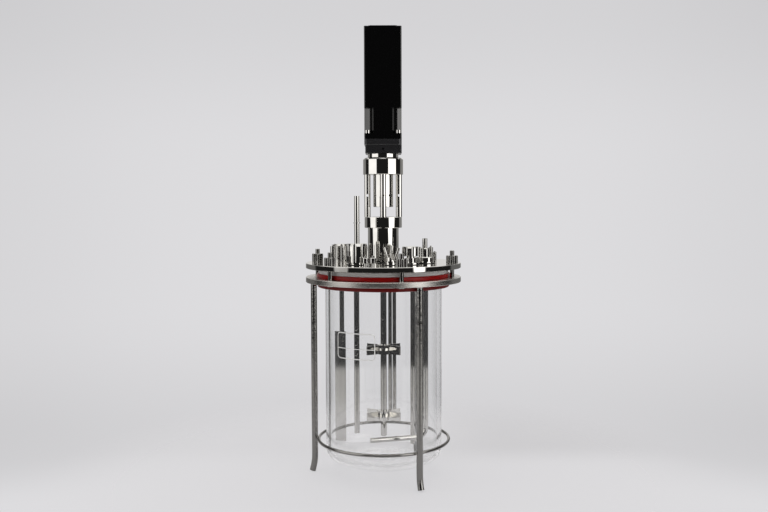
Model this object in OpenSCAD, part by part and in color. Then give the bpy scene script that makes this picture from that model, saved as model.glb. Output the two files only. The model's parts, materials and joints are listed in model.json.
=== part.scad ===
// Bench bioreactor: a glass vessel in a three-legged steel stand, closed by a
// ported head plate that carries a stirrer drive.
// Millimetres. The floor is z = 0, the vessel's axis is Z, the front faces -Y.
// Angles round the axis are counted from the front, positive towards +X.

/* [Stand] */
// Outer diameter of the support ring and of the head plate
ring_od = 250; // [246:1:256]
// Bore of the support ring
ring_id = 206; // [206:0.5:208]
// Height of the ring's underside above the floor
ring_z = 313; // [300:1:330]
// Thickness of the support ring
ring_t = 8; // [7:1:10]
// Diameter of the bars that the legs are bent from
leg_d = 10; // [9:0.5:11]
// Radius of the circle that the legs and the clamp studs stand on
leg_circle_r = 113; // [112:0.5:114]
// Angle by which each foot is bent outwards
foot_angle = 18; // [10:1:25]
// Radius of the foot's bend, to the bar's centre line
foot_bend_r = 85; // [60:1:110]
// Height of the lower hoop's centre line
hoop_z = 56; // [45:1:80]
// Diameter of the hoop's wire
hoop_d = 5; // [4:0.5:6]

/* [Vessel] */
// Outer diameter of the glass
glass_od = 188; // [188:1:190]
// Wall of the glass
glass_wall = 7; // [5:0.5:8]
// Height of the dished bottom's lowest point above the floor
glass_z = 9; // [6:1:14]
// Outer radius of the dished bottom's crown
crown_r = 220; // [190:5:260]
// Outer radius of the knuckle between the crown and the wall
knuckle_r = 18; // [14:1:24]
// Diameter of the ground flange at the rim
flange_od = 210; // [209:0.5:210]

/* [Head] */
// Thickness of the head plate
plate_t = 8; // [6:0.5:10]
// Height of the hand nuts
nut_h = 12.5; // [10:0.1:14]
// Diameter of the clamp studs
stud_d = 7; // [5:0.5:7]
// Length of stud that shows above each hand nut
stud_end = 7.9; // [4:0.1:10]

/* [Ports] */
// Radius of the circle that the main ports stand on
port_circle_r = 72; // [70:0.5:73]
// Angle of the dip tube's port
dip_phi = -34.5; // [-37:0.5:-34]
// Angle of the baffle's port
baffle_phi = -105; // [-107:1:-103]
// Angle of the addition manifold
addition_phi = 9; // [8:0.5:10]
// Angle of the sampling port
sample_phi = 36; // [35:0.5:37]
// Angle of the gas inlet and its sparger
sparger_phi = 66; // [65:0.5:70]
// Angle of the sensor wells' port
sensor_phi = 168; // [166:1:170]
// Angle of the harvest tube
harvest_phi = 136; // [135:0.5:138]
// Outer diameter of the dip tube and of the gas tube
tube_d = 8; // [7:0.5:8]
// Outer diameter of the sensor wells' sleeve
sensor_d = 12; // [11:0.5:12]

/* [Stirrer] */
// Diameter of the agitator shaft
shaft_d = 10; // [9:0.5:10]
// Height of the shaft's lower end
shaft_z = 59.5; // [58:0.5:75]
// Middle of the lower impeller
impeller_low_z = 94; // [85:1:110]
// Middle of the upper impeller
impeller_high_z = 202; // [160:1:240]
// Diameter over the impeller's blades
impeller_d = 62; // [50:1:64]
// Height of the impeller's blades
blade_h = 14.5; // [10:0.5:16]

/* [Drive] */
// Width of the motor across its flats
motor_w = 59; // [56:1:60]
// Height of the motor's top above the floor
motor_top = 717; // [700:0.1:730]
// Diameter of the seal housing
housing_d = 50; // [46:1:52]
// Diameter of the lantern's lower ring
lantern_d = 60.5; // [58:0.5:62]
// Diameter of the lantern's upper ring
lantern_top_d = 64.5; // [62:0.5:68]
// Diameter of the lantern's posts
post_d = 10; // [9:0.5:10]
// Diameter of the shaft coupling
coupling_d = 32; // [30:1:33]

/* [Hidden] */
$fn = 72;
cut = 1;                    // how far a cutting solid runs past a face
fit = 0.05;                 // radial clearance of what turns on what
gap = 0.1;                  // clearance between still pieces
leg_phis = [-91, 29, 149];
stud_phis = [-106, -46, 14, 74, 134, 194];
stud_head_d = 11;
stud_head_h = 2;
stud_hole_d = stud_d + 0.6;
edge = 0.6;                 // small chamfer on turned edges
rim = 1;                    // larger chamfer on moulded and ground edges

ring_top = ring_z + ring_t;
cushion_lip = 8;            // height of the cushion's lip under the ring
cushion_top = ring_top + 6.5;
cushion_under = 3.5;        // how far the cushion reaches out under the ring
cushion_over = 4.5;         // and on top of it
glass_top = ring_top + 13;
plate_z = glass_top + 1.5;
plate_top = plate_z + plate_t;
gasket_r = 99.5;
gasket_w = 4;
gasket_depth = 3;

bend_z = (foot_bend_r + leg_d/2)*sin(foot_angle);
weld = 0.3;                 // how deep the hoop sits in each leg
hoop_r = leg_circle_r - leg_d/2 - hoop_d/2 + weld;

glass_r = glass_od/2;
flange_r = flange_od/2;
knuckle_cr = glass_r - knuckle_r;
crown_cz = glass_z + crown_r;
knuckle_cz = crown_cz - sqrt(pow(crown_r - knuckle_r, 2) - pow(knuckle_cr, 2));
tangent_a = atan2(knuckle_cz - crown_cz, knuckle_cr);
seat_z = ring_top - 3.5;    // where the glass starts to widen to its flange
seat_top = ring_top + 3.5;

nut_core_d = 13;
nut_lobe_d = 5.8;
nut_lobe_r = 6.5;
nut_lobes = 6;
nut_grip_r = 10;            // outer radius that the lobes are turned to
nut_z = plate_top + fit;

stem_d = 11.8;              // stem of a port in the plate
stem_drop = 3;              // how far a stem reaches out under the plate
stem_hole_d = 12;
dip_cap_d = 33;
dip_cap_h = 29;
dip_flange_h = 4;
dip_neck_d = 20;
dip_hole_d = 19;
dip_z = 80;
dip_top = 450;
dip_collar_z = 408;
tube_wall = 1;
baffle_cap_d = 26;
baffle_cap_h = 26;
baffle_rod_end = 206;
baffle_low = 46;
baffle_high = 228.5;
baffle_w = 20;
baffle_t = 2;
baffle_shift = 3.5;         // how far the strip stands out past its rod, towards the glass
sample_cap_d = 27;
sample_cap_h = 14.7;
sample_body_h = 13.5;
sample_neck_d = 12;
sparger_head_d = 28;
sparger_head_h = 10.5;
sparger_peg_at = [-8, -8];  // place of the fixing peg on the head, along X and Y
sparger_top = 383;
sparger_z = 66;
sparger_bend_r = 14;
sparger_arm = 90;
sparger_turn = 40;          // angle between the arm and the line to the vessel's axis
sparger_holes = 6;
sparger_hole_pitch = 10;
sparger_hole_d = 1.2;
gland_d = 14.5;
gland_h = 14;
sensor_top = 405;
sensor_z = 84;
sensor_sleeve_z = plate_z - 12;
well_d = 6.4;
well_x = 3.8;               // how far each sensor well stands from the sleeve's axis
harvest_z = 32;
harvest_top = plate_top + 21;
harvest_collar_d = 18;
harvest_collar_h = 5;
sensor_gland_d = 22;
sensor_gland_h = 20;
manifold_d = 18;
manifold_base_h = 6.5;
manifold_h = 12;
addition_tube_d = 4.5;
addition_tilt = 17;
addition_bore_d = 2.7;
// Azimuth, distance from the manifold's axis and length of each addition tube
addition_tubes_at = [[-85, 4, 22], [88, 6.5, 21], [15, 4, 12], [160, 4, 24]];
needle_ports_at = [[-27.3, -80], [-15.7, -80]];
needle_stem_d = 4;
// Place, diameter and height of the plain plugs
plugs_at = [[-81, -5, 8.6, 26.5], [77, 6, 7, 23.8], [-65, -40, 4.5, 25.8], [83, -3, 4.5, 15.5]];

shaft_r = shaft_d/2;
housing_top = plate_top + 56;
spigot_d = 36;
spigot_low = plate_z - 5.5;
bearing_od = 26;
bearing_h = 8;
bearing_low_z = plate_top + 1.5;
bearing_high_z = housing_top - 18.4;
bearing_pitch_r = 9;
bearing_shoulder_d = 23;
race_land = 1.4;            // half the gap between the two rings of a bearing
ball_r = 2.375;
balls = 8;
seal_h = 7;
seal_z = spigot_low + 1;

lantern_low_h = 17.2;
window_z = housing_top + lantern_low_h;
window_h = 67.7;
lantern_top_z = window_z + window_h;
lantern_top_h = 26.6;
lantern_bore_d = 40;
post_circle_r = (lantern_d - post_d)/2;
post_stub_d = 6;
post_stub_h = 8;
post_hole_d = 4;
coupling_z = window_z + 16;
screw_z = window_z + 34.5;
lower_screw_phis = [-50, 40];
lower_hub_top = lantern_top_z + 2.3;
jaw_h = 8;
jaw_a = 60;                 // width of each metal jaw, in degrees
spider_a = 28;              // and of each leg of the spider
jaw_r = 7;                  // inner radius of the jaws
upper_hub_h = 13;
upper_screw_z = lower_hub_top + jaw_h + 7;
coupling_screw_d = 4;
shaft_top = coupling_z + 46;
impeller_screw_d = 3;
impeller_screw_phi = 30;
impeller_screw_up = 4.5;    // height of the screw above the impeller's middle
impeller_hub_d = 20;

neck_z = lantern_top_z + lantern_top_h;
neck_d = 49.5;
neck_h = 6.7;
flange_z = neck_z + neck_h;
flange_w = 57.5;
flange_shift = (motor_w - flange_w)/2; // sets the flange flush with the motor's right side
flange_h = 13.1;
adaptor_z = flange_z + flange_h;
adaptor_h = 8.9;
adaptor_bore_d = 20;
motor_z = adaptor_z + adaptor_h;
motor_flange_h = 8.9;
adaptor_corner_r = 5;
scallop_r = 25;             // the hollow above each of the motor's screws
scallop_out = 8.8;          // how far outside the motor's faces its axis lies
scallop_h = 40;
cap_plate_h = 8.6;
cap_raised_h = 2;
end_cap_z = motor_top - cap_raised_h - cap_plate_h;
motor_bore_d = 49;
motor_shaft_d = 14;
motor_corner_r = 2;
motor_bearing_od = 32;
motor_bearing_h = 9;
motor_bearing_z = motor_z + 5.3;
end_boss_h = 10;
stator_z = motor_z + 56;
stator_h = end_cap_z - end_boss_h - stator_z - 4;
rotor_d = 32;
box_low = adaptor_z;
box_h = 100;
box_d = 15;
box_w = 46;
socket_z = box_low + 30;
socket_seat = 4;            // how far in front of the motor's back the socket is seated
socket_d = 17;
screw_d = 5;
screw_inset = 5.2;
screw_depth = 7;            // how deep the motor's screws sit in the adaptor

steel = "silver";
polished = "gainsboro";
dark_steel = "darkgray";
black = [0.06, 0.06, 0.065];

// ---------------------------------------------------------------- helpers

// Places its children at an angle round the axis, at radius r and height z
module at(phi, r, z = 0) {
    rotate([0, 0, phi]) translate([0, -r, z]) children();
}

// Ring with chamfered edges
module turned_ring(od, id, h, c) {
    rotate_extrude()
        polygon([[id/2, 0], [od/2 - c, 0], [od/2, c], [od/2, h - c], [od/2 - c, h], [id/2, h]]);
}

// Points of an arc about [cx, cy] from angle a0 to a1
function arc(cx, cy, r, a0, a1, n) =
    [for (i = [0:n]) let (a = a0 + (a1 - a0)*i/n) [cx + r*cos(a), cy + r*sin(a)]];

// Outline of a square of width w with corners of radius r
function round_square(w, r, n = 4) = let (m = w/2 - r)
    concat(arc(m, m, r, 0, 90, n), arc(-m, m, r, 90, 180, n),
           arc(-m, -m, r, 180, 270, n), arc(m, -m, r, 270, 360, n));

// Cap with a grip of round flutes, chamfered at the top, open below
module fluted_cap(d, h, flutes, flute_d, shoulder, bore, inner_d, inner_h) {
    difference() {
        rotate_extrude()
            polygon([[0, 0], [d/2, 0], [d/2, h - shoulder], [d/2 - shoulder/2, h], [0, h]]);
        for (i = [0:flutes - 1])
            rotate([0, 0, (i + 0.5)*360/flutes])
                translate([0, -d/2 - flute_d/4, -cut])
                    cylinder(d = flute_d, h = h + 2*cut);
        translate([0, 0, -cut]) cylinder(d = inner_d, h = inner_h + cut);
        if (bore > 0) translate([0, 0, -cut]) cylinder(d = bore, h = h + 2*cut);
    }
}

// Bar that comes down from the ring and bends outwards towards -Y, cut square
module bent_bar(d) {
    translate([0, 0, bend_z]) cylinder(d = d, h = ring_z - bend_z);
    translate([0, -foot_bend_r, bend_z]) rotate([-90, 0, 90])
        rotate_extrude(angle = foot_angle) translate([foot_bend_r, 0]) circle(d = d);
}

module leg(i) {
    color(dark_steel) at(leg_phis[i], leg_circle_r) bent_bar(leg_d);
}

// ---------------------------------------------------------------- stand

module support_ring() {
    color(dark_steel) difference() {
        translate([0, 0, ring_z]) turned_ring(ring_od, ring_id, ring_t, edge);
        for (phi = stud_phis)
            at(phi, leg_circle_r, ring_z - cut) cylinder(d = stud_hole_d, h = ring_t + 2*cut);
    }
}

module lower_hoop() {
    color(dark_steel) translate([0, 0, hoop_z])
        rotate_extrude($fn = 120) translate([hoop_r, 0]) circle(d = hoop_d, $fn = 32);
}

// ---------------------------------------------------------------- vessel

module glass_vessel() {
    inner_r = glass_r - glass_wall;
    knuckle_a = tangent_a + 6;  // one step past the point that it shares with the crown
    outline = concat(
        arc(0, crown_cz, crown_r, -90, tangent_a, 14),
        arc(knuckle_cr, knuckle_cz, knuckle_r, knuckle_a, 0, 10),
        [[glass_r, seat_z], [flange_r, seat_top], [flange_r, glass_top - rim],
         [flange_r - rim, glass_top], [inner_r + rim, glass_top], [inner_r, glass_top - rim]],
        arc(knuckle_cr, knuckle_cz, knuckle_r - glass_wall, 0, knuckle_a, 10),
        arc(0, crown_cz, crown_r - glass_wall, tangent_a, -90, 14));
    color("lightcyan", 0.35) rotate_extrude($fn = 120) polygon(outline);
}

module flange_cushion() {
    bore = glass_r + gap;
    lip = ring_id/2 + cushion_under;
    top_lip = ring_id/2 + cushion_over;
    waist = ring_id/2 - gap;
    low = ring_z - cushion_lip;
    color("firebrick") rotate_extrude()
        polygon([[bore, low], [lip - rim, low], [lip, low + rim], [lip, ring_z],
            [waist, ring_z], [waist, ring_top], [top_lip, ring_top],
            [top_lip, cushion_top - rim], [top_lip - rim, cushion_top],
            [flange_r + gap, cushion_top],
            [flange_r + gap, seat_top - gap], [bore, seat_z - gap]]);
}

module rim_gasket() {
    in = gasket_r - gasket_w/2;
    out = gasket_r + gasket_w/2;
    top = plate_z + gasket_depth;
    color("ivory") rotate_extrude()
        polygon([[in, glass_top], [out, glass_top], [out, top - edge],
            [out - edge, top], [in + edge, top], [in, top - edge]]);
}

// ---------------------------------------------------------------- head plate

module plate_hole(d) {
    translate([0, 0, plate_z - cut]) cylinder(d = d, h = plate_t + 2*cut);
}

module head_plate() {
    color(polished) difference() {
        translate([0, 0, plate_z]) turned_ring(ring_od, spigot_d, plate_t, edge);
        for (phi = stud_phis) at(phi, leg_circle_r) plate_hole(stud_hole_d);
        at(dip_phi, port_circle_r) plate_hole(dip_hole_d);
        at(baffle_phi, port_circle_r) plate_hole(tube_d + 2*gap);
        at(addition_phi, port_circle_r) plate_hole(addition_tube_d + 2);
        for (phi = [sample_phi, sparger_phi]) at(phi, port_circle_r) plate_hole(stem_hole_d);
        at(sensor_phi, port_circle_r) plate_hole(sensor_d + 4);
        at(harvest_phi, port_circle_r) plate_hole(tube_d + 2*gap);
        for (p = needle_ports_at) translate([p[0], p[1], 0]) plate_hole(needle_stem_d);
        for (p = plugs_at) translate([p[0], p[1], 0]) plate_hole(p[2] - 1.5);
        rotate_extrude()
            translate([gasket_r - gasket_w/2 - gap, plate_z - cut])
                square([gasket_w + 2*gap, gasket_depth + cut]);
    }
}

module clamp_studs() {
    top = nut_z + nut_h + stud_end;
    color(steel) for (phi = stud_phis)
        at(phi, leg_circle_r) {
            translate([0, 0, ring_z - stud_head_h])
                cylinder(d1 = stud_head_d - 2*edge, d2 = stud_head_d, h = stud_head_h);
            translate([0, 0, ring_z - edge]) cylinder(d = stud_d, h = top - ring_z);
            translate([0, 0, top - edge]) cylinder(d1 = stud_d, d2 = stud_d - 2*edge, h = edge);
        }
}

module hand_nut(i) {
    color(steel) at(stud_phis[i], leg_circle_r, nut_z) difference() {
        intersection() {
            union() {
                cylinder(d = nut_core_d, h = nut_h);
                for (k = [0:nut_lobes - 1])
                    rotate([0, 0, k*360/nut_lobes]) translate([0, nut_lobe_r, 0])
                        cylinder(d = nut_lobe_d, h = nut_h);
            }
            rotate_extrude()
                polygon([[0, 0], [nut_grip_r - rim, 0], [nut_grip_r, rim],
                    [nut_grip_r, nut_h - 1.6*rim], [nut_grip_r - 1.6*rim, nut_h], [0, nut_h]]);
        }
        translate([0, 0, -cut]) cylinder(d = stud_d + 2*fit, h = nut_h + 2*cut);
    }
}

// ---------------------------------------------------------------- seal housing

module seal_housing() {
    color(polished) difference() {
        union() {
            translate([0, 0, plate_top]) cylinder(d = housing_d, h = housing_top - plate_top);
            translate([0, 0, spigot_low]) cylinder(d = spigot_d, h = plate_top - spigot_low);
        }
        translate([0, 0, spigot_low - cut])
            cylinder(d = bearing_od, h = bearing_low_z + bearing_h - spigot_low + cut);
        translate([0, 0, spigot_low])
            cylinder(d = bearing_shoulder_d, h = housing_top - spigot_low);
        translate([0, 0, bearing_high_z])
            cylinder(d = bearing_od, h = housing_top - bearing_high_z + cut);
    }
}

module for_both_bearings() {
    for (z = [bearing_low_z, bearing_high_z]) translate([0, 0, z]) children();
}

module race_groove() {
    translate([0, 0, bearing_h/2]) rotate_extrude()
        translate([bearing_pitch_r, 0]) circle(r = ball_r + fit, $fn = 48);
}

module bearing_ring(od, id) {
    difference() {
        cylinder(d = od, h = bearing_h);
        translate([0, 0, -cut]) cylinder(d = id, h = bearing_h + 2*cut);
        race_groove();
    }
}

module bearing_outer_rings() {
    color(steel) for_both_bearings() bearing_ring(bearing_od, 2*(bearing_pitch_r + race_land));
}

module bearing_inner_rings() {
    color(steel) for_both_bearings() bearing_ring(2*(bearing_pitch_r - race_land), shaft_d);
}

module bearing_balls() {
    color(polished) for_both_bearings()
        for (i = [0:balls - 1]) at(i*360/balls, bearing_pitch_r, bearing_h/2) sphere(r = ball_r);
}

module shaft_seal() {
    lip = shaft_r + fit;
    throat = shaft_r + 3;
    color("dimgray") translate([0, 0, seal_z]) rotate_extrude()
        polygon([[lip, 2], [lip + 1.5, 0], [bearing_od/2, 0], [bearing_od/2, seal_h],
            [throat, seal_h], [throat, 4], [lip, 3]]);
}

// ---------------------------------------------------------------- lantern

module post_sockets(z) {
    for (i = [0:3]) at(i*90, post_circle_r, z) cylinder(d = post_stub_d, h = post_stub_h + gap);
}

module lantern_lower_ring() {
    color(polished) difference() {
        translate([0, 0, housing_top]) turned_ring(lantern_d, lantern_bore_d, lantern_low_h, edge);
        post_sockets(window_z - post_stub_h - gap);
    }
}

module lantern_posts() {
    color(polished) for (i = [0:3]) at(i*90, post_circle_r) difference() {
        union() {
            translate([0, 0, window_z]) cylinder(d = post_d, h = window_h);
            translate([0, 0, window_z - post_stub_h])
                cylinder(d = post_stub_d, h = window_h + 2*post_stub_h);
        }
        translate([0, 0, screw_z]) rotate([90, 0, i*90])
            cylinder(d = post_hole_d, h = post_d + 2*cut, center = true);
    }
}

module lantern_upper_ring() {
    top_chamfer = 2.5;
    r = lantern_top_d/2;
    color(polished) difference() {
        translate([0, 0, lantern_top_z]) rotate_extrude()
            polygon([[lantern_bore_d/2, 0], [r - edge, 0], [r, edge],
                [r, lantern_top_h - top_chamfer], [r - top_chamfer, lantern_top_h],
                [lantern_bore_d/2, lantern_top_h]]);
        post_sockets(lantern_top_z);
    }
}

// ---------------------------------------------------------------- coupling

// Two opposite jaws of the coupling, each `spread` degrees wide, turned by a
module jaws(a, spread, z, h, inner_r, outer_r) {
    reach = 2*outer_r;
    translate([0, 0, z]) intersection() {
        difference() {
            cylinder(r = outer_r, h = h);
            translate([0, 0, -cut]) cylinder(r = inner_r, h = h + 2*cut);
        }
        for (k = [0, 180]) rotate([0, 0, a + k])
            linear_extrude(h)
                polygon([[0, 0], [reach*cos(spread/2), -reach*sin(spread/2)],
                         [reach*cos(spread/2), reach*sin(spread/2)]]);
    }
}

module screw_hole(phi, z, d, r0, r1) {
    rotate([0, 0, phi]) translate([0, -r0, z]) rotate([90, 0, 0]) cylinder(d = d, h = r1 - r0);
}

module grub_screw(phi, z, d, r0, r1) {
    rotate([0, 0, phi]) translate([0, -r0, z]) rotate([90, 0, 0]) difference() {
        cylinder(d = d, h = r1 - r0);
        translate([0, 0, r1 - r0 - 2]) cylinder(d = d/2, h = 2 + cut, $fn = 6);
    }
}

module coupling_lower_hub() {
    r = coupling_d/2;
    color(polished) difference() {
        union() {
            translate([0, 0, coupling_z])
                turned_ring(coupling_d, shaft_d, lower_hub_top - coupling_z, edge);
            translate([0, 0, shaft_top]) cylinder(d = shaft_d + 4, h = lower_hub_top - shaft_top);
            jaws(0, jaw_a, lower_hub_top - edge, jaw_h + edge, jaw_r, r - edge);
        }
        for (phi = lower_screw_phis)
            screw_hole(phi, screw_z, coupling_screw_d, shaft_r - 1, r + cut);
    }
}

module coupling_spider() {
    color("crimson") {
        for (a = [45, 135]) jaws(a, spider_a, lower_hub_top, jaw_h, jaw_r - 3, coupling_d/2 - 1);
        translate([0, 0, lower_hub_top]) turned_ring(2*(jaw_r - gap), shaft_r, jaw_h, 0.4);
    }
}

module coupling_upper_hub() {
    r = coupling_d/2;
    color(polished) difference() {
        union() {
            translate([0, 0, lower_hub_top + jaw_h])
                turned_ring(coupling_d, motor_shaft_d, upper_hub_h, edge);
            jaws(90, jaw_a, lower_hub_top, jaw_h + edge, jaw_r, r - edge);
        }
        screw_hole(0, upper_screw_z, coupling_screw_d, motor_shaft_d/2 - 1, r + cut);
    }
}

module grub_screws() {
    r = coupling_d/2 - 0.7;
    color(dark_steel) {
        for (phi = lower_screw_phis) grub_screw(phi, screw_z, coupling_screw_d, shaft_r, r);
        grub_screw(0, upper_screw_z, coupling_screw_d, motor_shaft_d/2, r);
        for (z = [impeller_low_z, impeller_high_z])
            grub_screw(impeller_screw_phi, z + impeller_screw_up, impeller_screw_d, shaft_r,
                       impeller_hub_d/2 - 0.4);
    }
}

// ---------------------------------------------------------------- motor

module corner_screws(z) {
    m = motor_w/2 - screw_inset;
    for (x = [-m, m], y = [-m, m]) translate([x, y, z]) children();
}

module adaptor_neck() {
    color(polished) translate([0, 0, neck_z])
        turned_ring(neck_d, adaptor_bore_d, neck_h, edge);
}

module adaptor_flange() {
    hole_depth = 4;
    color("dimgray") translate([0, 0, flange_z]) difference() {
        translate([flange_shift, 0, 0]) linear_extrude(flange_h)
            polygon(round_square(flange_w, motor_corner_r));
        translate([0, 0, -cut]) cylinder(d = adaptor_bore_d, h = flange_h + 2*cut);
        translate([0, hole_depth - flange_w/2, flange_h/2]) rotate([90, 0, 0])
            cylinder(d = 3.4, h = hole_depth + cut);
    }
}

module motor_adaptor() {
    color("gray") difference() {
        translate([0, 0, adaptor_z]) linear_extrude(adaptor_h)
            polygon(round_square(motor_w, adaptor_corner_r, 8));
        translate([0, 0, adaptor_z - cut]) cylinder(d = adaptor_bore_d, h = adaptor_h + 2*cut);
        corner_screws(motor_z - screw_depth - gap)
            cylinder(d = screw_d, h = screw_depth + gap + cut);
    }
}

module motor_screws() {
    shank = screw_depth + motor_flange_h;
    color(steel) corner_screws(motor_z - screw_depth) {
        cylinder(d = screw_d, h = shank);
        translate([0, 0, shank]) difference() {
            cylinder(d = 1.7*screw_d, h = screw_d);
            translate([0, 0, screw_d/2]) cylinder(d = 0.88*screw_d, h = screw_d, $fn = 6);
        }
    }
}

module motor_housing() {
    m = motor_w/2;
    bore_z = stator_z - 4;
    color(black) difference() {
        translate([0, 0, motor_z]) linear_extrude(end_cap_z - motor_z)
            polygon(round_square(motor_w, motor_corner_r));
        translate([0, 0, motor_z - cut])
            cylinder(d = motor_shaft_d + 4, h = motor_bearing_z - motor_z + 2*cut);
        translate([0, 0, motor_bearing_z])
            cylinder(d = motor_bearing_od, h = bore_z - motor_bearing_z + cut);
        translate([0, 0, bore_z]) cylinder(d = motor_bore_d, h = end_cap_z - bore_z + cut);
        for (x = [-1, 1], y = [-1, 1])
            translate([x*(m + scallop_out), y*(m + scallop_out), motor_z + motor_flange_h])
                cylinder(r = scallop_r, h = scallop_h);
        corner_screws(motor_z - cut) cylinder(d = screw_d, h = motor_flange_h + 2*cut);
    }
}

module motor_end_cap() {
    raised_w = 46;
    boss_z = end_cap_z - end_boss_h;
    color(black) difference() {
        union() {
            translate([0, 0, end_cap_z]) linear_extrude(cap_plate_h)
                polygon(round_square(motor_w, motor_corner_r));
            translate([0, 0, end_cap_z + cap_plate_h - cut]) linear_extrude(cap_raised_h + cut)
                polygon(round_square(raised_w, 2*motor_corner_r));
            translate([0, 0, boss_z]) cylinder(d = motor_bore_d - 2*gap, h = end_boss_h + cut);
        }
        translate([0, 0, boss_z - cut]) cylinder(d = motor_bearing_od, h = end_boss_h + cut);
    }
}

module motor_stator() {
    color("peru") translate([0, 0, stator_z]) difference() {
        cylinder(d = motor_bore_d - 2*gap, h = stator_h);
        translate([0, 0, -cut]) cylinder(d = rotor_d + 1, h = stator_h + 2*cut);
    }
}

module motor_rotor() {
    color("slategray") translate([0, 0, stator_z + 2])
        turned_ring(rotor_d, motor_shaft_d, stator_h - 4, edge);
}

module motor_bearings() {
    color(steel) for (z = [motor_bearing_z, end_cap_z - motor_bearing_h])
        translate([0, 0, z])
            turned_ring(motor_bearing_od, motor_shaft_d + 2*fit, motor_bearing_h, edge);
}

module motor_shaft() {
    low = lower_hub_top + jaw_h + 0.5;
    color(steel) translate([0, 0, low]) cylinder(d = motor_shaft_d, h = end_cap_z - 1 - low);
}

module connector_box() {
    c = 2;
    side = box_w/2;
    color(black) translate([0, motor_w/2, box_low]) difference() {
        linear_extrude(box_h)
            polygon([[-side, 0], [side, 0], [side, box_d - c], [side - c, box_d],
                [c - side, box_d], [-side, box_d - c]]);
        translate([0, socket_seat - cut, socket_z - box_low]) rotate([-90, 0, 0])
            cylinder(d = socket_d - 3, h = box_d);
    }
}

// Round plug socket: a barrel with a collar on the box and six contacts inside
module connector_socket() {
    depth = box_d - socket_seat;
    collar = 2;
    barrel = 10;
    contact_circle_r = 4;
    translate([0, motor_w/2 + socket_seat, socket_z]) rotate([-90, 0, 0]) {
        color(dark_steel) difference() {
            union() {
                cylinder(d = socket_d - 3, h = depth + cut);
                translate([0, 0, depth]) cylinder(d = socket_d + 4, h = collar);
                translate([0, 0, depth + collar - cut]) cylinder(d = socket_d, h = barrel + cut);
            }
            translate([0, 0, depth + collar]) cylinder(d = socket_d - 3, h = barrel + cut);
        }
        color("goldenrod") for (i = [0:5]) rotate([0, 0, i*60])
            translate([contact_circle_r, 0, depth]) cylinder(d = 1.2, h = barrel - 2);
    }
}

// ---------------------------------------------------------------- stirrer

module agitator_shaft() {
    color(steel) {
        translate([0, 0, shaft_z]) cylinder(d1 = shaft_d - 2, d2 = shaft_d, h = 1);
        translate([0, 0, shaft_z + 1]) cylinder(d = shaft_d, h = shaft_top - shaft_z - 1);
    }
}

module impeller(z) {
    hub_h = 15;
    disc_d = 44;
    disc_t = 1.5;
    blade_t = 2;
    blade_in = 11.5;
    color(polished) translate([0, 0, z]) difference() {
        union() {
            translate([0, 0, -hub_h/2]) cylinder(d = impeller_hub_d, h = hub_h);
            translate([0, 0, -disc_t/2]) cylinder(d = disc_d, h = disc_t);
            for (i = [0:5]) rotate([0, 0, i*60]) translate([-blade_t/2, blade_in, -blade_h/2])
                cube([blade_t, impeller_d/2 - blade_in, blade_h]);
        }
        translate([0, 0, -hub_h]) cylinder(d = shaft_d, h = 2*hub_h);
        screw_hole(impeller_screw_phi, impeller_screw_up, impeller_screw_d, shaft_r - 1,
                   impeller_hub_d);
    }
}

// ---------------------------------------------------------------- ports

module dip_port_body() {
    low = plate_z - stem_drop;
    neck_top = plate_top + dip_flange_h + dip_cap_h - 6;
    color(steel) at(dip_phi, port_circle_r) difference() {
        union() {
            translate([0, 0, low]) cylinder(d = dip_hole_d - 2*gap, h = plate_top - low + cut);
            translate([0, 0, plate_top]) cylinder(d = dip_cap_d - 3, h = dip_flange_h);
            translate([0, 0, plate_top]) cylinder(d = dip_neck_d, h = neck_top - plate_top);
        }
        translate([0, 0, low - cut]) cylinder(d = tube_d + 2*gap, h = neck_top - low + 2*cut);
    }
}

module dip_port_cap() {
    color(polished) at(dip_phi, port_circle_r, plate_top + dip_flange_h + fit)
        fluted_cap(dip_cap_d, dip_cap_h, 8, 8, 4, tube_d + 4*fit, dip_neck_d + 2*fit,
                   dip_cap_h - 5);
}

module dip_tube() {
    color(steel) at(dip_phi, port_circle_r) difference() {
        union() {
            translate([0, 0, dip_z]) cylinder(d = tube_d, h = dip_top - dip_z);
            translate([0, 0, dip_collar_z]) cylinder(d = tube_d + 3, h = rim);
        }
        translate([0, 0, dip_z - cut]) cylinder(d = tube_d - 2*tube_wall, h = dip_top - dip_z + 2*cut);
    }
}

module baffle() {
    rod_top = plate_top + baffle_cap_h - 4;
    color(steel) at(baffle_phi, port_circle_r) {
        translate([0, 0, baffle_rod_end]) cylinder(d = tube_d, h = rod_top - baffle_rod_end);
        translate([-baffle_t/2, -baffle_w/2 - baffle_shift, baffle_low])
            cube([baffle_t, baffle_w, baffle_high - baffle_low]);
    }
}

module baffle_port_cap() {
    color(polished) at(baffle_phi, port_circle_r, plate_top + fit)
        fluted_cap(baffle_cap_d, baffle_cap_h + 3, 8, 6.5, 3, 0, tube_d + 2*fit, baffle_cap_h - 3);
}

// Straight tube of an addition line, leaning outwards
module addition_tube(p, d, from, h) {
    rotate([0, 0, p[0]]) translate([0, -p[1], manifold_base_h]) rotate([addition_tilt, 0, 0])
        translate([0, 0, from]) cylinder(d = d, h = h);
}

module addition_manifold() {
    color(steel) at(addition_phi, port_circle_r, plate_top) difference() {
        union() {
            cylinder(d = manifold_d, h = manifold_base_h);
            translate([0, 0, manifold_base_h])
                cylinder(d1 = manifold_d - 4, d2 = manifold_d - 6, h = manifold_h - manifold_base_h);
            translate([0, 0, -plate_t - stem_drop])
                cylinder(d = addition_tube_d + 1.8, h = plate_t + stem_drop + cut);
        }
        for (p = addition_tubes_at) addition_tube(p, addition_tube_d, 0, p[2]);
    }
}

module addition_tubes() {
    color(steel) at(addition_phi, port_circle_r, plate_top) for (p = addition_tubes_at)
        difference() {
            addition_tube(p, addition_tube_d, 0, p[2]);
            addition_tube(p, addition_bore_d, 3, p[2]);
        }
}

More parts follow.
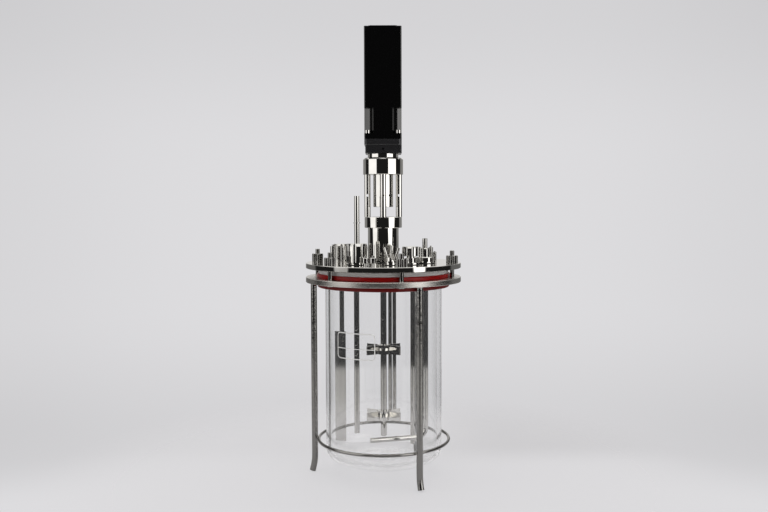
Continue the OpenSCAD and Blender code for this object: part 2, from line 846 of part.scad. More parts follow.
module sample_port_body() {
    color(steel) at(sample_phi, port_circle_r, plate_top) {
        translate([0, 0, -plate_t - stem_drop]) cylinder(d = stem_d, h = plate_t + stem_drop + cut);
        cylinder(d = sample_cap_d, h = 3.5);
        cylinder(d = 17, h = sample_body_h - 3);
        cylinder(d = sample_neck_d, h = sample_body_h + 8);
    }
}

module sample_port_cap() {
    color(polished) at(sample_phi, port_circle_r, plate_top + sample_body_h)
        fluted_cap(sample_cap_d, sample_cap_h, 8, 6, 2.5, 0, sample_neck_d + 2*fit,
                   sample_cap_h - 4);
}

module sparger_port_head() {
    low = plate_t + stem_drop;
    neck = sparger_head_h + 4;
    bore = tube_d + 2*gap;
    color(steel) at(sparger_phi, port_circle_r, plate_top) difference() {
        union() {
            turned_ring(sparger_head_d, bore, sparger_head_h, rim);
            translate([0, 0, -low]) cylinder(d = stem_d, h = low + neck);
            rotate([0, 0, -sparger_phi])
                translate([sparger_peg_at[0], sparger_peg_at[1], sparger_head_h - cut])
                    cylinder(d = 4, h = 17);
        }
        translate([0, 0, -low - cut]) cylinder(d = bore, h = low + neck + 2*cut);
    }
}

module sparger_gland() {
    color(polished) at(sparger_phi, port_circle_r, plate_top + sparger_head_h + fit)
        fluted_cap(gland_d, gland_h, 6, 4, 1.5, tube_d + 2*fit, stem_d + 2*fit, 5);
}

// Path of the gas tube: down, a quarter bend, then across the vessel's floor
module sparger_path(d, top, arm) {
    rotate([0, 0, sparger_turn]) {
        translate([0, 0, sparger_z + sparger_bend_r])
            cylinder(d = d, h = top - sparger_z - sparger_bend_r);
        translate([0, sparger_bend_r, sparger_z + sparger_bend_r]) rotate([-90, 0, -90])
            rotate_extrude(angle = 90) translate([sparger_bend_r, 0]) circle(d = d);
        translate([0, sparger_bend_r, sparger_z]) rotate([-90, 0, 0])
            cylinder(d = d, h = arm - sparger_bend_r);
    }
}

module sparger_tube() {
    end = 2;
    color(steel) at(sparger_phi, port_circle_r) difference() {
        sparger_path(tube_d, sparger_top, sparger_arm);
        sparger_path(tube_d - 2*tube_wall, sparger_top + cut, sparger_arm - end);
        rotate([0, 0, sparger_turn]) for (i = [1:sparger_holes])
            translate([0, sparger_arm - i*sparger_hole_pitch, sparger_z - tube_d])
                cylinder(d = sparger_hole_d, h = tube_d);
    }
}

module sensor_gland() {
    bore = sensor_d + 2*fit;
    color(polished) at(sensor_phi, port_circle_r, plate_top + fit)
        fluted_cap(sensor_gland_d, sensor_gland_h, 8, 5, 2.5, bore, bore, sensor_gland_h/2);
}

// Two closed wells under one sleeve
module sensor_tube() {
    color(steel) at(sensor_phi, port_circle_r) {
        for (x = [-well_x, well_x])
            translate([x, 0, sensor_z]) cylinder(d = well_d, h = sensor_sleeve_z + cut - sensor_z);
        translate([0, 0, sensor_sleeve_z]) cylinder(d = sensor_d, h = sensor_top - sensor_sleeve_z);
        translate([0, 0, sensor_top]) cylinder(d = sensor_d - 3, h = 9);
    }
}

// Straight tube down to the bottom, fixed in the plate by its own collar
module harvest_tube() {
    length = harvest_top - harvest_z;
    color(steel) at(harvest_phi, port_circle_r) difference() {
        union() {
            translate([0, 0, harvest_z]) cylinder(d = tube_d, h = length);
            translate([0, 0, plate_top]) turned_ring(harvest_collar_d, 0, harvest_collar_h, rim);
        }
        translate([0, 0, harvest_z - cut])
            cylinder(d = tube_d - 2*tube_wall, h = length + 2*cut);
    }
}

module needle_ports() {
    color("whitesmoke") for (p = needle_ports_at) translate([p[0], p[1], plate_top]) {
        translate([0, 0, -plate_t - stem_drop])
            cylinder(d = needle_stem_d, h = plate_t + stem_drop + 15);
        cylinder(d = needle_stem_d + 1, h = 4);
        translate([0, 0, 3.5]) turned_ring(11, 0, 8.5, edge);
    }
}

module port_plugs() {
    color(steel) for (p = plugs_at) translate([p[0], p[1], plate_top]) {
        translate([0, 0, -plate_t - stem_drop])
            cylinder(d = p[2] - 1.7, h = plate_t + stem_drop + cut);
        cylinder(d = p[2], h = p[3]);
        cylinder(d = 0.4*p[2], h = p[3] + 2.5);
    }
}

support_ring();
leg(0);  // leg_left
leg(1);  // leg_front
leg(2);  // leg_rear
lower_hoop();
glass_vessel();
flange_cushion();
rim_gasket();
head_plate();
clamp_studs();
hand_nut(0);  // hand_nut_1
hand_nut(1);  // hand_nut_2
hand_nut(2);  // hand_nut_3
hand_nut(3);  // hand_nut_4
hand_nut(4);  // hand_nut_5
hand_nut(5);  // hand_nut_6
seal_housing();
bearing_outer_rings();
bearing_inner_rings();
bearing_balls();
shaft_seal();
lantern_lower_ring();
lantern_posts();
lantern_upper_ring();
coupling_lower_hub();
coupling_spider();
coupling_upper_hub();
grub_screws();
adaptor_neck();
adaptor_flange();
motor_adaptor();
motor_screws();
motor_housing();
motor_end_cap();
motor_stator();
motor_rotor();
motor_bearings();
motor_shaft();
connector_box();
connector_socket();
agitator_shaft();
impeller(impeller_high_z);  // impeller_upper
impeller(impeller_low_z);  // impeller_lower
harvest_tube();
dip_port_body();
dip_port_cap();
dip_tube();
baffle();
baffle_port_cap();
addition_manifold();
addition_tubes();
sample_port_body();
sample_port_cap();
sparger_port_head();
sparger_gland();
sparger_tube();
sensor_gland();
sensor_tube();
needle_ports();
port_plugs();
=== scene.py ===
import json
import math

import bmesh
import bpy
from mathutils import Matrix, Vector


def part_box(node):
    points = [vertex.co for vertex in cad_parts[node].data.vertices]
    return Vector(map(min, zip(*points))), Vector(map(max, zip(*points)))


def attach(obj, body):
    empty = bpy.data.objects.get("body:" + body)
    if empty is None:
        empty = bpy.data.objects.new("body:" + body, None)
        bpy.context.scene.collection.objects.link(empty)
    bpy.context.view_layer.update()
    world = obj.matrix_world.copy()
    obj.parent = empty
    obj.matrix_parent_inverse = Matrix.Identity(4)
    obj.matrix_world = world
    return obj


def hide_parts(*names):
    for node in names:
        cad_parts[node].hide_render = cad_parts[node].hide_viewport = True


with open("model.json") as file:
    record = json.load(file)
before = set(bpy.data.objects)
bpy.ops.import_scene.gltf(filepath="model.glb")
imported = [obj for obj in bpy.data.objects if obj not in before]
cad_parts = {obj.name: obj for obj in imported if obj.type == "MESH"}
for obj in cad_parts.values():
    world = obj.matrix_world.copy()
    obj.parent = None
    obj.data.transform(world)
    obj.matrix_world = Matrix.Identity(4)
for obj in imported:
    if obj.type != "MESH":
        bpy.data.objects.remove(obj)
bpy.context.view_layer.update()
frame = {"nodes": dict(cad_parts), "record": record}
nodes = frame["nodes"]

MM = 0.001


# ------------------------------------------------------------------ shaders

class Wire:
    """An output socket that Python's operators can work on."""

    def __init__(self, graph, socket):
        self.graph = graph
        self.socket = socket

    def math(self, operation, *values):
        return self.graph.node("Math", {"operation": operation}, dict(enumerate(values)))

    def __add__(self, other):
        return self.math("ADD", self, other)

    def __sub__(self, other):
        return self.math("SUBTRACT", self, other)

    def __rsub__(self, other):
        return self.math("SUBTRACT", other, self)

    def __mul__(self, other):
        return self.math("MULTIPLY", self, other)

    def __lt__(self, other):
        return self.math("LESS_THAN", self, other)

    def __gt__(self, other):
        return self.math("GREATER_THAN", self, other)

    __radd__ = __add__

    def ramp(self, low, high, smooth=True):
        """0 below low, 1 above high and an even rise between them."""
        kind = "SMOOTHSTEP" if smooth else "LINEAR"
        return self.graph.node("MapRange", {"interpolation_type": kind},
                               {"Value": self, "From Min": low, "From Max": high})


class Graph:
    """A node tree that is built from expressions."""

    def __init__(self, tree):
        self.tree = tree
        tree.nodes.clear()

    def node(self, kind, settings=None, inputs=None, out=0):
        made = self.tree.nodes.new("ShaderNode" + kind)
        for key, value in (settings or {}).items():
            setattr(made, key, value)
        for key, value in (inputs or {}).items():
            socket = made.inputs[key]
            if isinstance(value, Wire):
                self.tree.links.new(value.socket, socket)
            elif hasattr(value, "__len__") and socket.type == "RGBA":
                socket.default_value = (*value[:3], 1.0)
            else:
                socket.default_value = value
        return Wire(self, made.outputs[out]) if made.outputs else None

    def colour(self, share, a, b):
        """Colour a where share is 0 and b where it is 1."""
        return self.node("Mix", {"data_type": "RGBA"}, {0: share, 6: a, 7: b}, out=2)

    def place(self, scale=(1, 1, 1)):
        """The point on the piece, in metres, stretched by scale."""
        point = self.node("TexCoord", out="Object")
        return self.node("Mapping", {}, {"Vector": point, "Scale": scale})

    def noise(self, scale, stretch=(1, 1, 1), detail=2.0):
        where = self.place(stretch)
        return self.node("TexNoise", {}, {"Vector": where, "Scale": scale, "Detail": detail})

    def axes(self):
        split = self.node("SeparateXYZ", {}, {"Vector": self.node("TexCoord", out="Object")})
        outputs = split.socket.node.outputs
        return [Wire(self, outputs[i]) for i in range(3)]


def new_finish(name, shell=None, **fixed):
    """A material with one Principled shader, whose fixed sockets are set straight on it."""
    material = bpy.data.materials.new(name)
    material.use_nodes = True
    graph = Graph(material.node_tree)
    shader = graph.node("BsdfPrincipled")
    surface = shader.socket.node
    for key, value in fixed.items():
        socket = surface.inputs[key.replace("_", " ")]
        socket.default_value = (*value, 1.0) if hasattr(value, "__len__") else value
    graph.node("OutputMaterial", {}, {"Surface": shell(graph, shader) if shell else shader})
    return material, graph, surface


def link(graph, surface, **wires):
    for key, wire in wires.items():
        graph.tree.links.new(wire.socket, surface.inputs[key.replace("_", " ")])


def bump(graph, height, distance, strength=1.0):
    return graph.node("Bump", {}, {"Height": height, "Distance": distance, "Strength": strength})


def mirror_steel():
    material, graph, surface = new_finish("mirror_steel", Metallic=1.0)
    smudge = graph.noise(55, detail=3.0).ramp(0.35, 0.75)
    tint = graph.colour(smudge, (0.64, 0.63, 0.605), (0.71, 0.70, 0.675))
    hairline = graph.noise(1200, (1, 1, 0.05), detail=1.0)
    link(graph, surface, Base_Color=tint, Roughness=0.012 + smudge * 0.03,
         Normal=bump(graph, hairline, 0.000001, 0.2))
    return material


def bright_steel():
    material, graph, surface = new_finish("bright_steel", Metallic=1.0)
    drawn = graph.noise(1500, (1, 1, 0.03), detail=2.0)
    tint = graph.colour(graph.noise(40), (0.54, 0.53, 0.51), (0.62, 0.61, 0.59))
    link(graph, surface, Base_Color=tint, Roughness=0.02 + drawn * 0.04,
         Normal=bump(graph, drawn, 0.0000015, 0.3))
    return material


def turned_steel():
    """Fasteners straight from the lathe, darker than the ground tubes."""
    material, graph, surface = new_finish("turned_steel", Metallic=1.0)
    feed = graph.noise(2200, (0.03, 0.03, 1), detail=2.0)
    tint = graph.colour(graph.noise(60), (0.26, 0.256, 0.245), (0.37, 0.364, 0.35))
    link(graph, surface, Base_Color=tint, Roughness=0.03 + feed * 0.06,
         Normal=bump(graph, feed, 0.000002, 0.3))
    return material


def satin_steel():
    material, graph, surface = new_finish("satin_steel", Metallic=1.0)
    brushed = graph.noise(2500, (0.02, 0.02, 1), detail=3.0)
    patch = graph.noise(30, detail=3.0)
    tint = graph.colour(patch, (0.57, 0.55, 0.52), (0.65, 0.63, 0.60))
    link(graph, surface, Base_Color=tint, Roughness=0.19 + brushed * 0.14,
         Normal=bump(graph, brushed, 0.00002, 0.4))
    return material


def drawn_bar():
    """Bar ground between rollers: fine rings round it draw each light out along its length."""
    material, graph, surface = new_finish("drawn_bar", Metallic=1.0)
    rings = graph.noise(3000, (0.02, 0.02, 1), detail=2.0)
    pit = graph.noise(260, (1, 1, 0.35), detail=3.0)
    tint = graph.colour(pit.ramp(0.35, 0.70), (0.62, 0.609, 0.585), (0.74, 0.727, 0.70))
    # painted shade: the bars' base colour turns dark towards the floor, standing in for a dim
    # reflection low down; the hoop lies almost wholly in it
    painted_low_shade = 1 - graph.axes()[2].ramp(0.05, 0.26) * 0.9
    link(graph, surface, Base_Color=graph.colour(painted_low_shade, tint, (0.24, 0.236, 0.227)),
         Roughness=0.03 + pit * 0.03, Normal=bump(graph, rings, 0.000045))
    return material


def rim_highlight_and_faint_dish(graph, shader):
    """Mixes matt white into the ground rim as a painted highlight and makes the dished bottom
    nearly transparent.
    """
    height = graph.axes()[2]
    # painted highlight: matt white standing in for the bright light that the clear flange passes
    # and reflects
    white = graph.node("BsdfDiffuse", {}, {"Color": (0.86, 0.86, 0.86, 1)})
    rim = graph.node("MixShader", {}, {0: height.ramp(0.3215, 0.3245) * 0.8, 1: shader, 2: white})
    dish = 1 - height.ramp(0.026, 0.052)
    return graph.node("MixShader", {}, {0: dish * 0.85, 1: rim, 2: graph.node("BsdfTransparent")})


def clear_glass():
    material, graph, surface = new_finish(
        "clear_glass", rim_highlight_and_faint_dish, Transmission_Weight=1.0, IOR=1.47)
    edge = graph.node("LayerWeight", {}, {"Blend": 0.25}, out="Facing")
    ground = graph.axes()[2].ramp(0.3195, 0.3225)
    tint = graph.colour(edge, (0.998, 0.999, 0.999), (0.965, 0.975, 0.975))
    link(graph, surface, Base_Color=tint, Roughness=ground * 0.15)
    return material


def rubber(name, colour, gloss):
    material, graph, surface = new_finish(name, Specular_IOR_Level=0.22)
    grain = graph.noise(700, detail=3.0)
    patch = graph.noise(25, detail=2.0)
    dark = tuple(0.8 * c for c in colour)
    link(graph, surface, Base_Color=graph.colour(patch, dark, colour),
         Roughness=gloss + grain * 0.15, Normal=bump(graph, grain, 0.00005, 0.4))
    return material


def red_rubber():
    """Deep red, with painted shade darkening the lip under the ring."""
    material, graph, surface = new_finish("red_silicone", Specular_IOR_Level=0.2)
    grain = graph.noise(700, detail=3.0)
    patch = graph.noise(25, detail=2.0)
    # painted shade: the lip under the ring is given a darker red than the lip above it
    upper = graph.axes()[2].ramp(0.314, 0.320)
    tint = graph.colour(upper, (0.14, 0.006, 0.006), (0.40, 0.007, 0.006))
    link(graph, surface, Base_Color=graph.colour(patch * 0.3, tint, (0.10, 0.003, 0.003)),
         Roughness=0.24 + grain * 0.12, Normal=bump(graph, grain, 0.00003, 0.4))
    return material


def powder_coat(name, colour):
    material, graph, surface = new_finish(name, Specular_IOR_Level=1.0)
    grain = graph.noise(2600, detail=1.0)
    tint = graph.colour(grain, colour, tuple(1.5 * c for c in colour))
    link(graph, surface, Base_Color=tint, Roughness=0.11 + grain * 0.06,
         Normal=bump(graph, grain, 0.000003, 0.3))
    return material


def anodised(name, colour, highlight_line_at):
    """Dark anodised block with a painted highlight, a lighter line along the joint at the height
    given.
    """
    material, graph, surface = new_finish(name, Metallic=0.6)
    milled = graph.noise(1800, (0.02, 1, 1), detail=2.0)
    height = graph.axes()[2]
    # painted highlight: a light line along the joint edge; the block is also painted lighter
    # towards its top
    painted_edge_highlight = height.ramp(highlight_line_at - 0.0009, highlight_line_at) * (1 - height.ramp(highlight_line_at, highlight_line_at + 0.0012))
    top = height.ramp(highlight_line_at + 0.004, highlight_line_at + 0.009)
    tint = graph.colour(milled, colour, tuple(1.4 * c for c in colour))
    tint = graph.colour(top * 0.5, tint, tuple(1.9 * c for c in colour))
    link(graph, surface, Base_Color=graph.colour(painted_edge_highlight * 0.8, tint, (0.17, 0.17, 0.175)),
         Roughness=0.20 + milled * 0.10, Normal=bump(graph, milled, 0.00001, 0.4))
    return material


FINISHES = {
    "satin_steel": satin_steel(),
    "polished_steel": mirror_steel(),
    "bright_steel": bright_steel(),
    "glass": clear_glass(),
    "red_silicone": red_rubber(),
    "pale_silicone": rubber("pale_silicone", (0.80, 0.79, 0.76), 0.35),
    "seal_rubber": rubber("seal_rubber", (0.02, 0.02, 0.02), 0.45),
    "spider_rubber": rubber("spider_rubber", (0.50, 0.05, 0.04), 0.40),
    "black_housing": powder_coat("black_housing", (0.0009, 0.0009, 0.001)),
    "grey_anodised": anodised("grey_anodised", (0.036, 0.036, 0.039),
                              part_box("motor_adaptor")[0][2]),
    "stator_iron": powder_coat("stator_iron", (0.35, 0.20, 0.12)),
    "rotor_iron": powder_coat("rotor_iron", (0.30, 0.30, 0.32)),
}

BARS = drawn_bar()
FASTENERS = turned_steel()
OWN_FINISH = {"leg_": BARS, "lower_hoop": BARS, "hand_nut_": FASTENERS, "clamp_studs": FASTENERS}

for part in frame["record"]["subparts"]:
    finish = FINISHES[part["material_slot"]]
    for start, own in OWN_FINISH.items():
        if part["node"].startswith(start):
            finish = own
    for held in nodes[part["node"]].material_slots:
        held.material = finish


# ------------------------------------------------------------------ making

class Outline:
    """An outline in the XZ plane in millimetres, drawn step by step, then turned round Z."""

    def __init__(self, r, z):
        self.shape = bmesh.new()
        self.first = self.last = self.shape.verts.new((r * MM, 0, z * MM))
        self.rounded = []

    def line(self, r, z, rounding=0.0):
        """Goes on straight to (r, z); that corner is rounded off later."""
        made = self.shape.verts.new((r * MM, 0, z * MM))
        self.shape.edges.new((self.last, made))
        self.last = made
        if rounding:
            self.rounded.append((made, rounding))
        return self

    def sweep(self, r, z, degrees, steps):
        """Goes on along a circle about (r, z)."""
        made = bmesh.ops.spin(self.shape, geom=[self.last], cent=(r * MM, 0, z * MM),
                              axis=(0, -1, 0), angle=math.radians(degrees), steps=steps)
        self.last = made["geom_last"][0]
        return self

    def close(self):
        self.shape.edges.new((self.last, self.first))
        return self

    def turn(self, steps=96):
        for corner, rounding in self.rounded:
            bmesh.ops.bevel(self.shape, geom=[corner], offset=rounding * MM, segments=4,
                            affect="VERTICES", profile=0.5, material=-1)
        bmesh.ops.spin(self.shape, geom=self.shape.verts[:] + self.shape.edges[:],
                       cent=(0, 0, 0), axis=(0, 0, 1), angle=2 * math.pi, steps=steps,
                       use_merge=True)
        return self.shape


def outward(shape):
    bmesh.ops.remove_doubles(shape, verts=shape.verts, dist=0.000001)
    bmesh.ops.recalc_face_normals(shape, faces=shape.faces)


def around(degrees, radius, z=0.0):
    """The place at an angle from the front, in millimetres from the axis."""
    turn = math.radians(degrees)
    place = (radius * MM * math.sin(turn), -radius * MM * math.cos(turn), z * MM)
    return Matrix.Translation(place) @ Matrix.Rotation(turn, 4, "Z")


def gather(shapes):
    """One shape made of several, each moved to its own place."""
    whole = bmesh.new()
    for shape, place in shapes:
        outward(shape)
        part = bpy.data.meshes.new("part")
        shape.transform(place)
        shape.to_mesh(part)
        shape.free()
        whole.from_mesh(part)
        bpy.data.meshes.remove(part)
    return whole


def piece(name, shape, slot, body="frame", stands_for=(), sharp=35):
    """A finished piece in the record's finish, which rides on its body."""
    outward(shape)
    mesh = bpy.data.meshes.new(name)
    shape.to_mesh(mesh)
    shape.free()
    for face in mesh.polygons:
        face.use_smooth = True
    mesh.set_sharp_from_angle(angle=math.radians(sharp))
    made = bpy.data.objects.new(name, mesh)
    bpy.context.scene.collection.objects.link(made)
    mesh.materials.append(FINISHES[slot])
    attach(made, body)
    if stands_for:
        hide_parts(*stands_for)
    return made


# ------------------------------------------------------------------ vessel

glass_low, glass_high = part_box("glass_vessel")
RIM = glass_high[2] / MM
FLANGE = glass_high[0] / MM
GLASS = 94.0
WALL = 7.0
CROWN = 220.0
KNUCKLE = 18.0


def vessel():
    """Blown vessel: a dished bottom, an even wall and a ground flange, all on true arcs."""
    low = glass_low[2] / MM
    crown_z = low + CROWN
    knuckle_x = GLASS - KNUCKLE
    knuckle_z = crown_z - math.sqrt((CROWN - KNUCKLE) ** 2 - knuckle_x ** 2)
    tangent = math.degrees(math.atan2(knuckle_z - crown_z, knuckle_x))
    line = Outline(0, low)
    line.sweep(0, crown_z, tangent + 90, 28).sweep(knuckle_x, knuckle_z, -tangent, 18)
    for up in (2, 8, 60, 120, 180, 240, RIM - 28 - knuckle_z, RIM - 22 - knuckle_z):
        line.line(GLASS, knuckle_z + up)
    line.line(GLASS, RIM - 16.5, 3).line(FLANGE, RIM - 9.5, 1.5).line(FLANGE, RIM - 3)
    line.line(FLANGE, RIM, 1.2).line(FLANGE - 3, RIM).line(GLASS - WALL + 3, RIM)
    line.line(GLASS - WALL, RIM, 1.2)
    for up in (RIM - 3 - knuckle_z, 240, 180, 120, 60, 8, 2, 0):
        line.line(GLASS - WALL, knuckle_z + up)
    line.sweep(knuckle_x, knuckle_z, tangent, 14).sweep(0, crown_z, -tangent - 90, 24)
    made = piece("glass_body", line.turn(256), "glass", stands_for=["glass_vessel"], sharp=60)
    made.visible_shadow = False


def marking_field():
    """Blank writing field fired on to the glass: a rounded outline with one dividing line."""
    across, up, line = 68.0, 41.0, 1.5
    azimuth, height = -28.5, 0.2195
    shape = bmesh.new()
    bmesh.ops.create_grid(shape, x_segments=1, y_segments=1, size=0.5,
                          matrix=Matrix.Diagonal((across * MM, up * MM, 1, 1)))
    bmesh.ops.bevel(shape, geom=shape.verts[:], offset=6 * MM, segments=6, affect="VERTICES",
                    profile=0.5, material=-1)
    bmesh.ops.inset_region(shape, faces=shape.faces[:], thickness=line * MM, use_boundary=True,
                           use_even_offset=True)
    inner = max(shape.faces, key=lambda face: face.calc_area())
    bmesh.ops.delete(shape, geom=[inner], context="FACES_ONLY")
    bmesh.ops.create_grid(
        shape, x_segments=1, y_segments=1, size=0.5,
        matrix=Matrix.Translation((0, -0.1 * up * MM, 0))
        @ Matrix.Diagonal(((across - line) * MM, 0.8 * line * MM, 1, 1)))
    for i in range(-32, 33):
        bmesh.ops.bisect_plane(shape, geom=shape.verts[:] + shape.edges[:] + shape.faces[:],
                               dist=0.0000001, plane_co=(i * MM, 0, 0), plane_no=(1, 0, 0))
    bmesh.ops.solidify(shape, geom=shape.faces[:], thickness=0.12 * MM)
    reach = GLASS * MM
    for vert in shape.verts:
        turn = math.radians(azimuth) + vert.co.x / reach
        out = reach + 0.00003 + abs(vert.co.z)
        vert.co = (out * math.sin(turn), -out * math.cos(turn), height + vert.co.y)
    field = piece("marking_field", shape, "pale_silicone", sharp=50)
    field.material_slots[0].material = rubber("fired_enamel", (0.95, 0.95, 0.94), 0.20)


def cushion():
    """Moulded red rim that the flange rests in, with a lip under the ring and one on top."""
    low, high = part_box("flange_cushion")
    base, top, out = low[2] / MM, high[2] / MM, high[0] / MM
    ring_low, ring_high = (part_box("support_ring")[i][2] / MM for i in (0, 1))
    line = Outline(GLASS + 0.1, base + 2)
    line.line(GLASS + 0.1, base, 0.9).line(out - 1, base, 2.2).line(out - 1, ring_low - 0.2, 0.5)
    line.line(102.9, ring_low, 0.3).line(102.9, ring_high).line(out, ring_high + 0.2, 0.6)
    line.line(out, top, 2.4).line(FLANGE + 0.1, top, 0.6)
    line.line(FLANGE + 0.1, RIM - 9.6).line(GLASS + 0.1, RIM - 16.6).close()
    piece("flange_rim", line.turn(192), "red_silicone", stands_for=["flange_cushion"], sharp=40)


# ------------------------------------------------------------------ small work

STUDS = (-106, -46, 14, 74, 134, 194)
LEGS = (-91, 29, 149)
RING_CIRCLE = 113
PORT_CIRCLE = 72
WELD_BORE = 4.95
THREAD_ROOT = 3.5
HOOP_TOUCH = 107.9
HOOP_HEIGHT = 56
SEAL_THICK = 1.3
HUB_SEAL = 25.2


def thread(radius, low, high, pitch):
    """A thread's ridge, wound up a rod."""
    turns = int((high - low) / pitch)
    shape = bmesh.new()
    ridge = [shape.verts.new(((radius + out) * MM, 0, (low + up * pitch) * MM))
             for out, up in ((-0.4, 0.0), (0.22, 0.42), (0.22, 0.58), (-0.4, 1.0))]
    face = shape.faces.new(ridge)
    bmesh.ops.spin(shape, geom=ridge + face.edges[:] + [face], cent=(0, 0, 0), axis=(0, 0, 1),
                   dvec=(0, 0, pitch * MM / 20), angle=2 * math.pi * turns, steps=20 * turns)
    return shape


def stud_threads():
    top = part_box("clamp_studs")[1][2] / MM
    nut_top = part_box("hand_nut_1")[1][2] / MM
    made = [(thread(THREAD_ROOT, nut_top + 0.1, top - 1.6, 1.0), around(phi, RING_CIRCLE))
            for phi in STUDS]
    threads = piece("stud_threads", gather(made), "bright_steel", sharp=30)
    threads.material_slots[0].material = FASTENERS


def collar(inner, outer, height):
    """A hollow fillet of weld round a bar, wider at its top."""
    line = Outline(inner, -height)
    line.line(inner + 0.25 * (outer - inner), -0.45 * height, 0.3)
    return line.line(outer, 0).line(inner - 0.3, 0).close().turn(48)


def welds():
    ring_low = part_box("support_ring")[0][2] / MM
    made = [(collar(WELD_BORE, 6.6, 1.8), around(phi, RING_CIRCLE, ring_low)) for phi in LEGS]
    piece("leg_welds", gather(made), "satin_steel", sharp=60)
    beads = []
    for phi in LEGS:
        bead = bmesh.new()
        bmesh.ops.create_icosphere(bead, subdivisions=3, radius=MM,
                                   matrix=Matrix.Diagonal((4.2, 1.5, 3.0, 1)))
        beads.append((bead, around(phi, HOOP_TOUCH, HOOP_HEIGHT)))
    piece("hoop_welds", gather(beads), "satin_steel", sharp=60)


def seal_ring(radius, thick):
    line = Outline(radius + thick / 2, 0)
    return line.sweep(radius, 0, 360, 12).turn(64)


def port_seals():
    """Black rings that show as a thin line under each port's flange."""
    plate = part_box("head_plate")[1][2] / MM
    made = [(seal_ring(radius, SEAL_THICK), around(phi, PORT_CIRCLE, plate + 0.35))
            for phi, radius in ((-34.5, 15.2), (36, 13.7), (66, 14.2), (136, 9.2), (9, 9.2))]
    made.append((seal_ring(HUB_SEAL, SEAL_THICK), around(0, 0, plate + 0.35)))
    piece("port_seals", gather(made), "seal_rubber", sharp=60)


vessel()
marking_field()
cushion()
stud_threads()
welds()
port_seals()


# ------------------------------------------------------------------ stage

BACKDROP = (0.722, 0.716, 0.732)


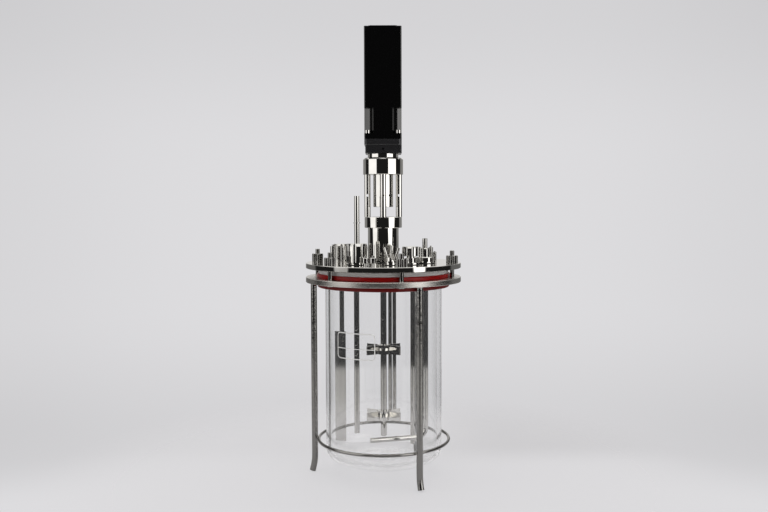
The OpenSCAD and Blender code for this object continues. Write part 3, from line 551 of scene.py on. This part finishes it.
def studio_world():
    """Pale all round to the eye; two tall soft lights and a dark room to shiny steel."""
    world = bpy.data.worlds.new("studio")
    bpy.context.scene.world = world
    world.use_nodes = True
    graph = Graph(world.node_tree)
    way = graph.node("TexCoord", out="Generated")
    split = graph.node("SeparateXYZ", {}, {"Vector": way}).socket.node.outputs
    x, y, z = (Wire(graph, split[i]) for i in range(3))
    azimuth = graph.node("Math", {"operation": "ARCTAN2"}, {0: x, 1: y * -1.0})
    degrees = azimuth * (180 / math.pi)

    def band(low, high, soft=2.0):
        return degrees.ramp(low - soft, low + soft) * (1 - degrees.ramp(high - soft, high + soft))

    # two tall strips, narrower towards their foot
    tall = z.ramp(-0.10, -0.08) * (1 - z.ramp(0.50, 0.70))
    chamfer = (1 - z.ramp(-0.09, 0.01, smooth=False)) * 17.0
    left = band(-90 + chamfer, -38 - chamfer) * (0.5 + z.ramp(-0.075, -0.066) * 0.9)
    right = band(30 + chamfer, 77 - chamfer) * 2.1
    lights = (left + right) * tall
    # the room behind the object, then the bench below it and the light above
    room = (1 - band(-118, 117, 4)) * 0.27 + (1 - band(-163, 163, 4)) * 0.45
    room = room * (0.5 + z.ramp(-0.070, -0.030) * 0.5)
    above = z.ramp(0.50, 0.75)
    below = 1 - z.ramp(-0.190, -0.182)
    level = 0.015 + lights + room * (1 - above)
    lobes = band(-98, -36, 8) + band(36, 98, 8)
    bench = ((0.50 + (1 - z.ramp(-0.270, -0.200)) * 0.17)
             * (0.30 + band(-100, 100, 14) * 0.30 + lobes * 0.70))
    level = level * (1 - below) + below * bench + above * 1.25
    dim = graph.node("Background", {}, {"Color": (1.0, 0.985, 0.965), "Strength": level})
    # the backdrop as the eye sees it, with painted shade: a little darker at its edges and towards
    # the top, and in a band low down
    side = x * x
    pale = (1 - z.ramp(0.05, 0.23) * 0.09 - side.ramp(0.015, 0.18) * z.ramp(-0.31, -0.22) * 0.065
            - (1 - z.ramp(-0.27, -0.11)) * z.ramp(-0.31, -0.26) * 0.105)
    seen = graph.node("Background", {}, {"Color": BACKDROP, "Strength": pale})
    path = graph.node("LightPath").socket.node.outputs
    inside = ((Wire(graph, path["Glossy Depth"]) < 0.5)
              + (Wire(graph, path["Transmission Depth"]) < 2.5))
    through = (Wire(graph, path["Is Transmission Ray"]) * (Wire(graph, path["Diffuse Depth"]) < 0.5)
               * (inside > 0.5))
    direct = Wire(graph, path["Is Camera Ray"]) + through
    mixed = graph.node("MixShader", {}, {0: direct, 1: dim, 2: seen})
    graph.node("OutputWorld", {}, {"Surface": mixed})


def pale_floor():
    shape = bmesh.new()
    bmesh.ops.create_circle(shape, cap_ends=True, radius=0.9, segments=96)
    mesh = bpy.data.meshes.new("floor")
    shape.to_mesh(mesh)
    shape.free()
    floor = bpy.data.objects.new("floor", mesh)
    bpy.context.scene.collection.objects.link(floor)
    floor.location.z = -0.0002
    material = bpy.data.materials.new("floor")
    material.use_nodes = True
    graph = Graph(material.node_tree)
    x, y, _ = graph.axes()
    far = (x * x + y * y).ramp(0.07, 0.34)
    # painted shadow: the floor is painted darker behind the object and more so to its right, where
    # its soft shadow and the dimmer far floor fall
    behind = y.ramp(0.02, 0.16) * (0.3 + x.ramp(0.02, 0.24) * 0.7)
    path = graph.node("LightPath").socket.node.outputs
    seen = Wire(graph, path["Is Camera Ray"]) + Wire(graph, path["Is Transmission Ray"])
    paper = graph.node("BsdfDiffuse", {}, {"Color": (0.72, 0.715, 0.735)})
    glow = graph.node("Emission", {}, {
        "Color": graph.colour(behind, (0.715, 0.709, 0.727), (0.60, 0.594, 0.609))})
    lit = graph.node("MixShader", {}, {0: seen * 0.72, 1: paper, 2: glow})
    gone = graph.node("BsdfTransparent")
    mixed = graph.node("MixShader", {}, {0: far, 1: lit, 2: gone})
    graph.node("OutputMaterial", {}, {"Surface": mixed})
    mesh.materials.append(material)


def camera():
    lens = bpy.data.cameras.new("camera")
    lens.sensor_width = 36
    lens.lens = 40.84
    lens.clip_start = 0.05
    lens.clip_end = 50
    seen_from = bpy.data.objects.new("camera", lens)
    seen_from.location = (0.0013, -1.4068, 0.438)
    seen_from.rotation_euler = (math.pi / 2 - 0.06, 0.0027, 0)
    bpy.context.scene.collection.objects.link(seen_from)
    bpy.context.scene.camera = seen_from


bpy.context.scene.view_settings.view_transform = "Standard"
studio_world()
pale_floor()
camera()
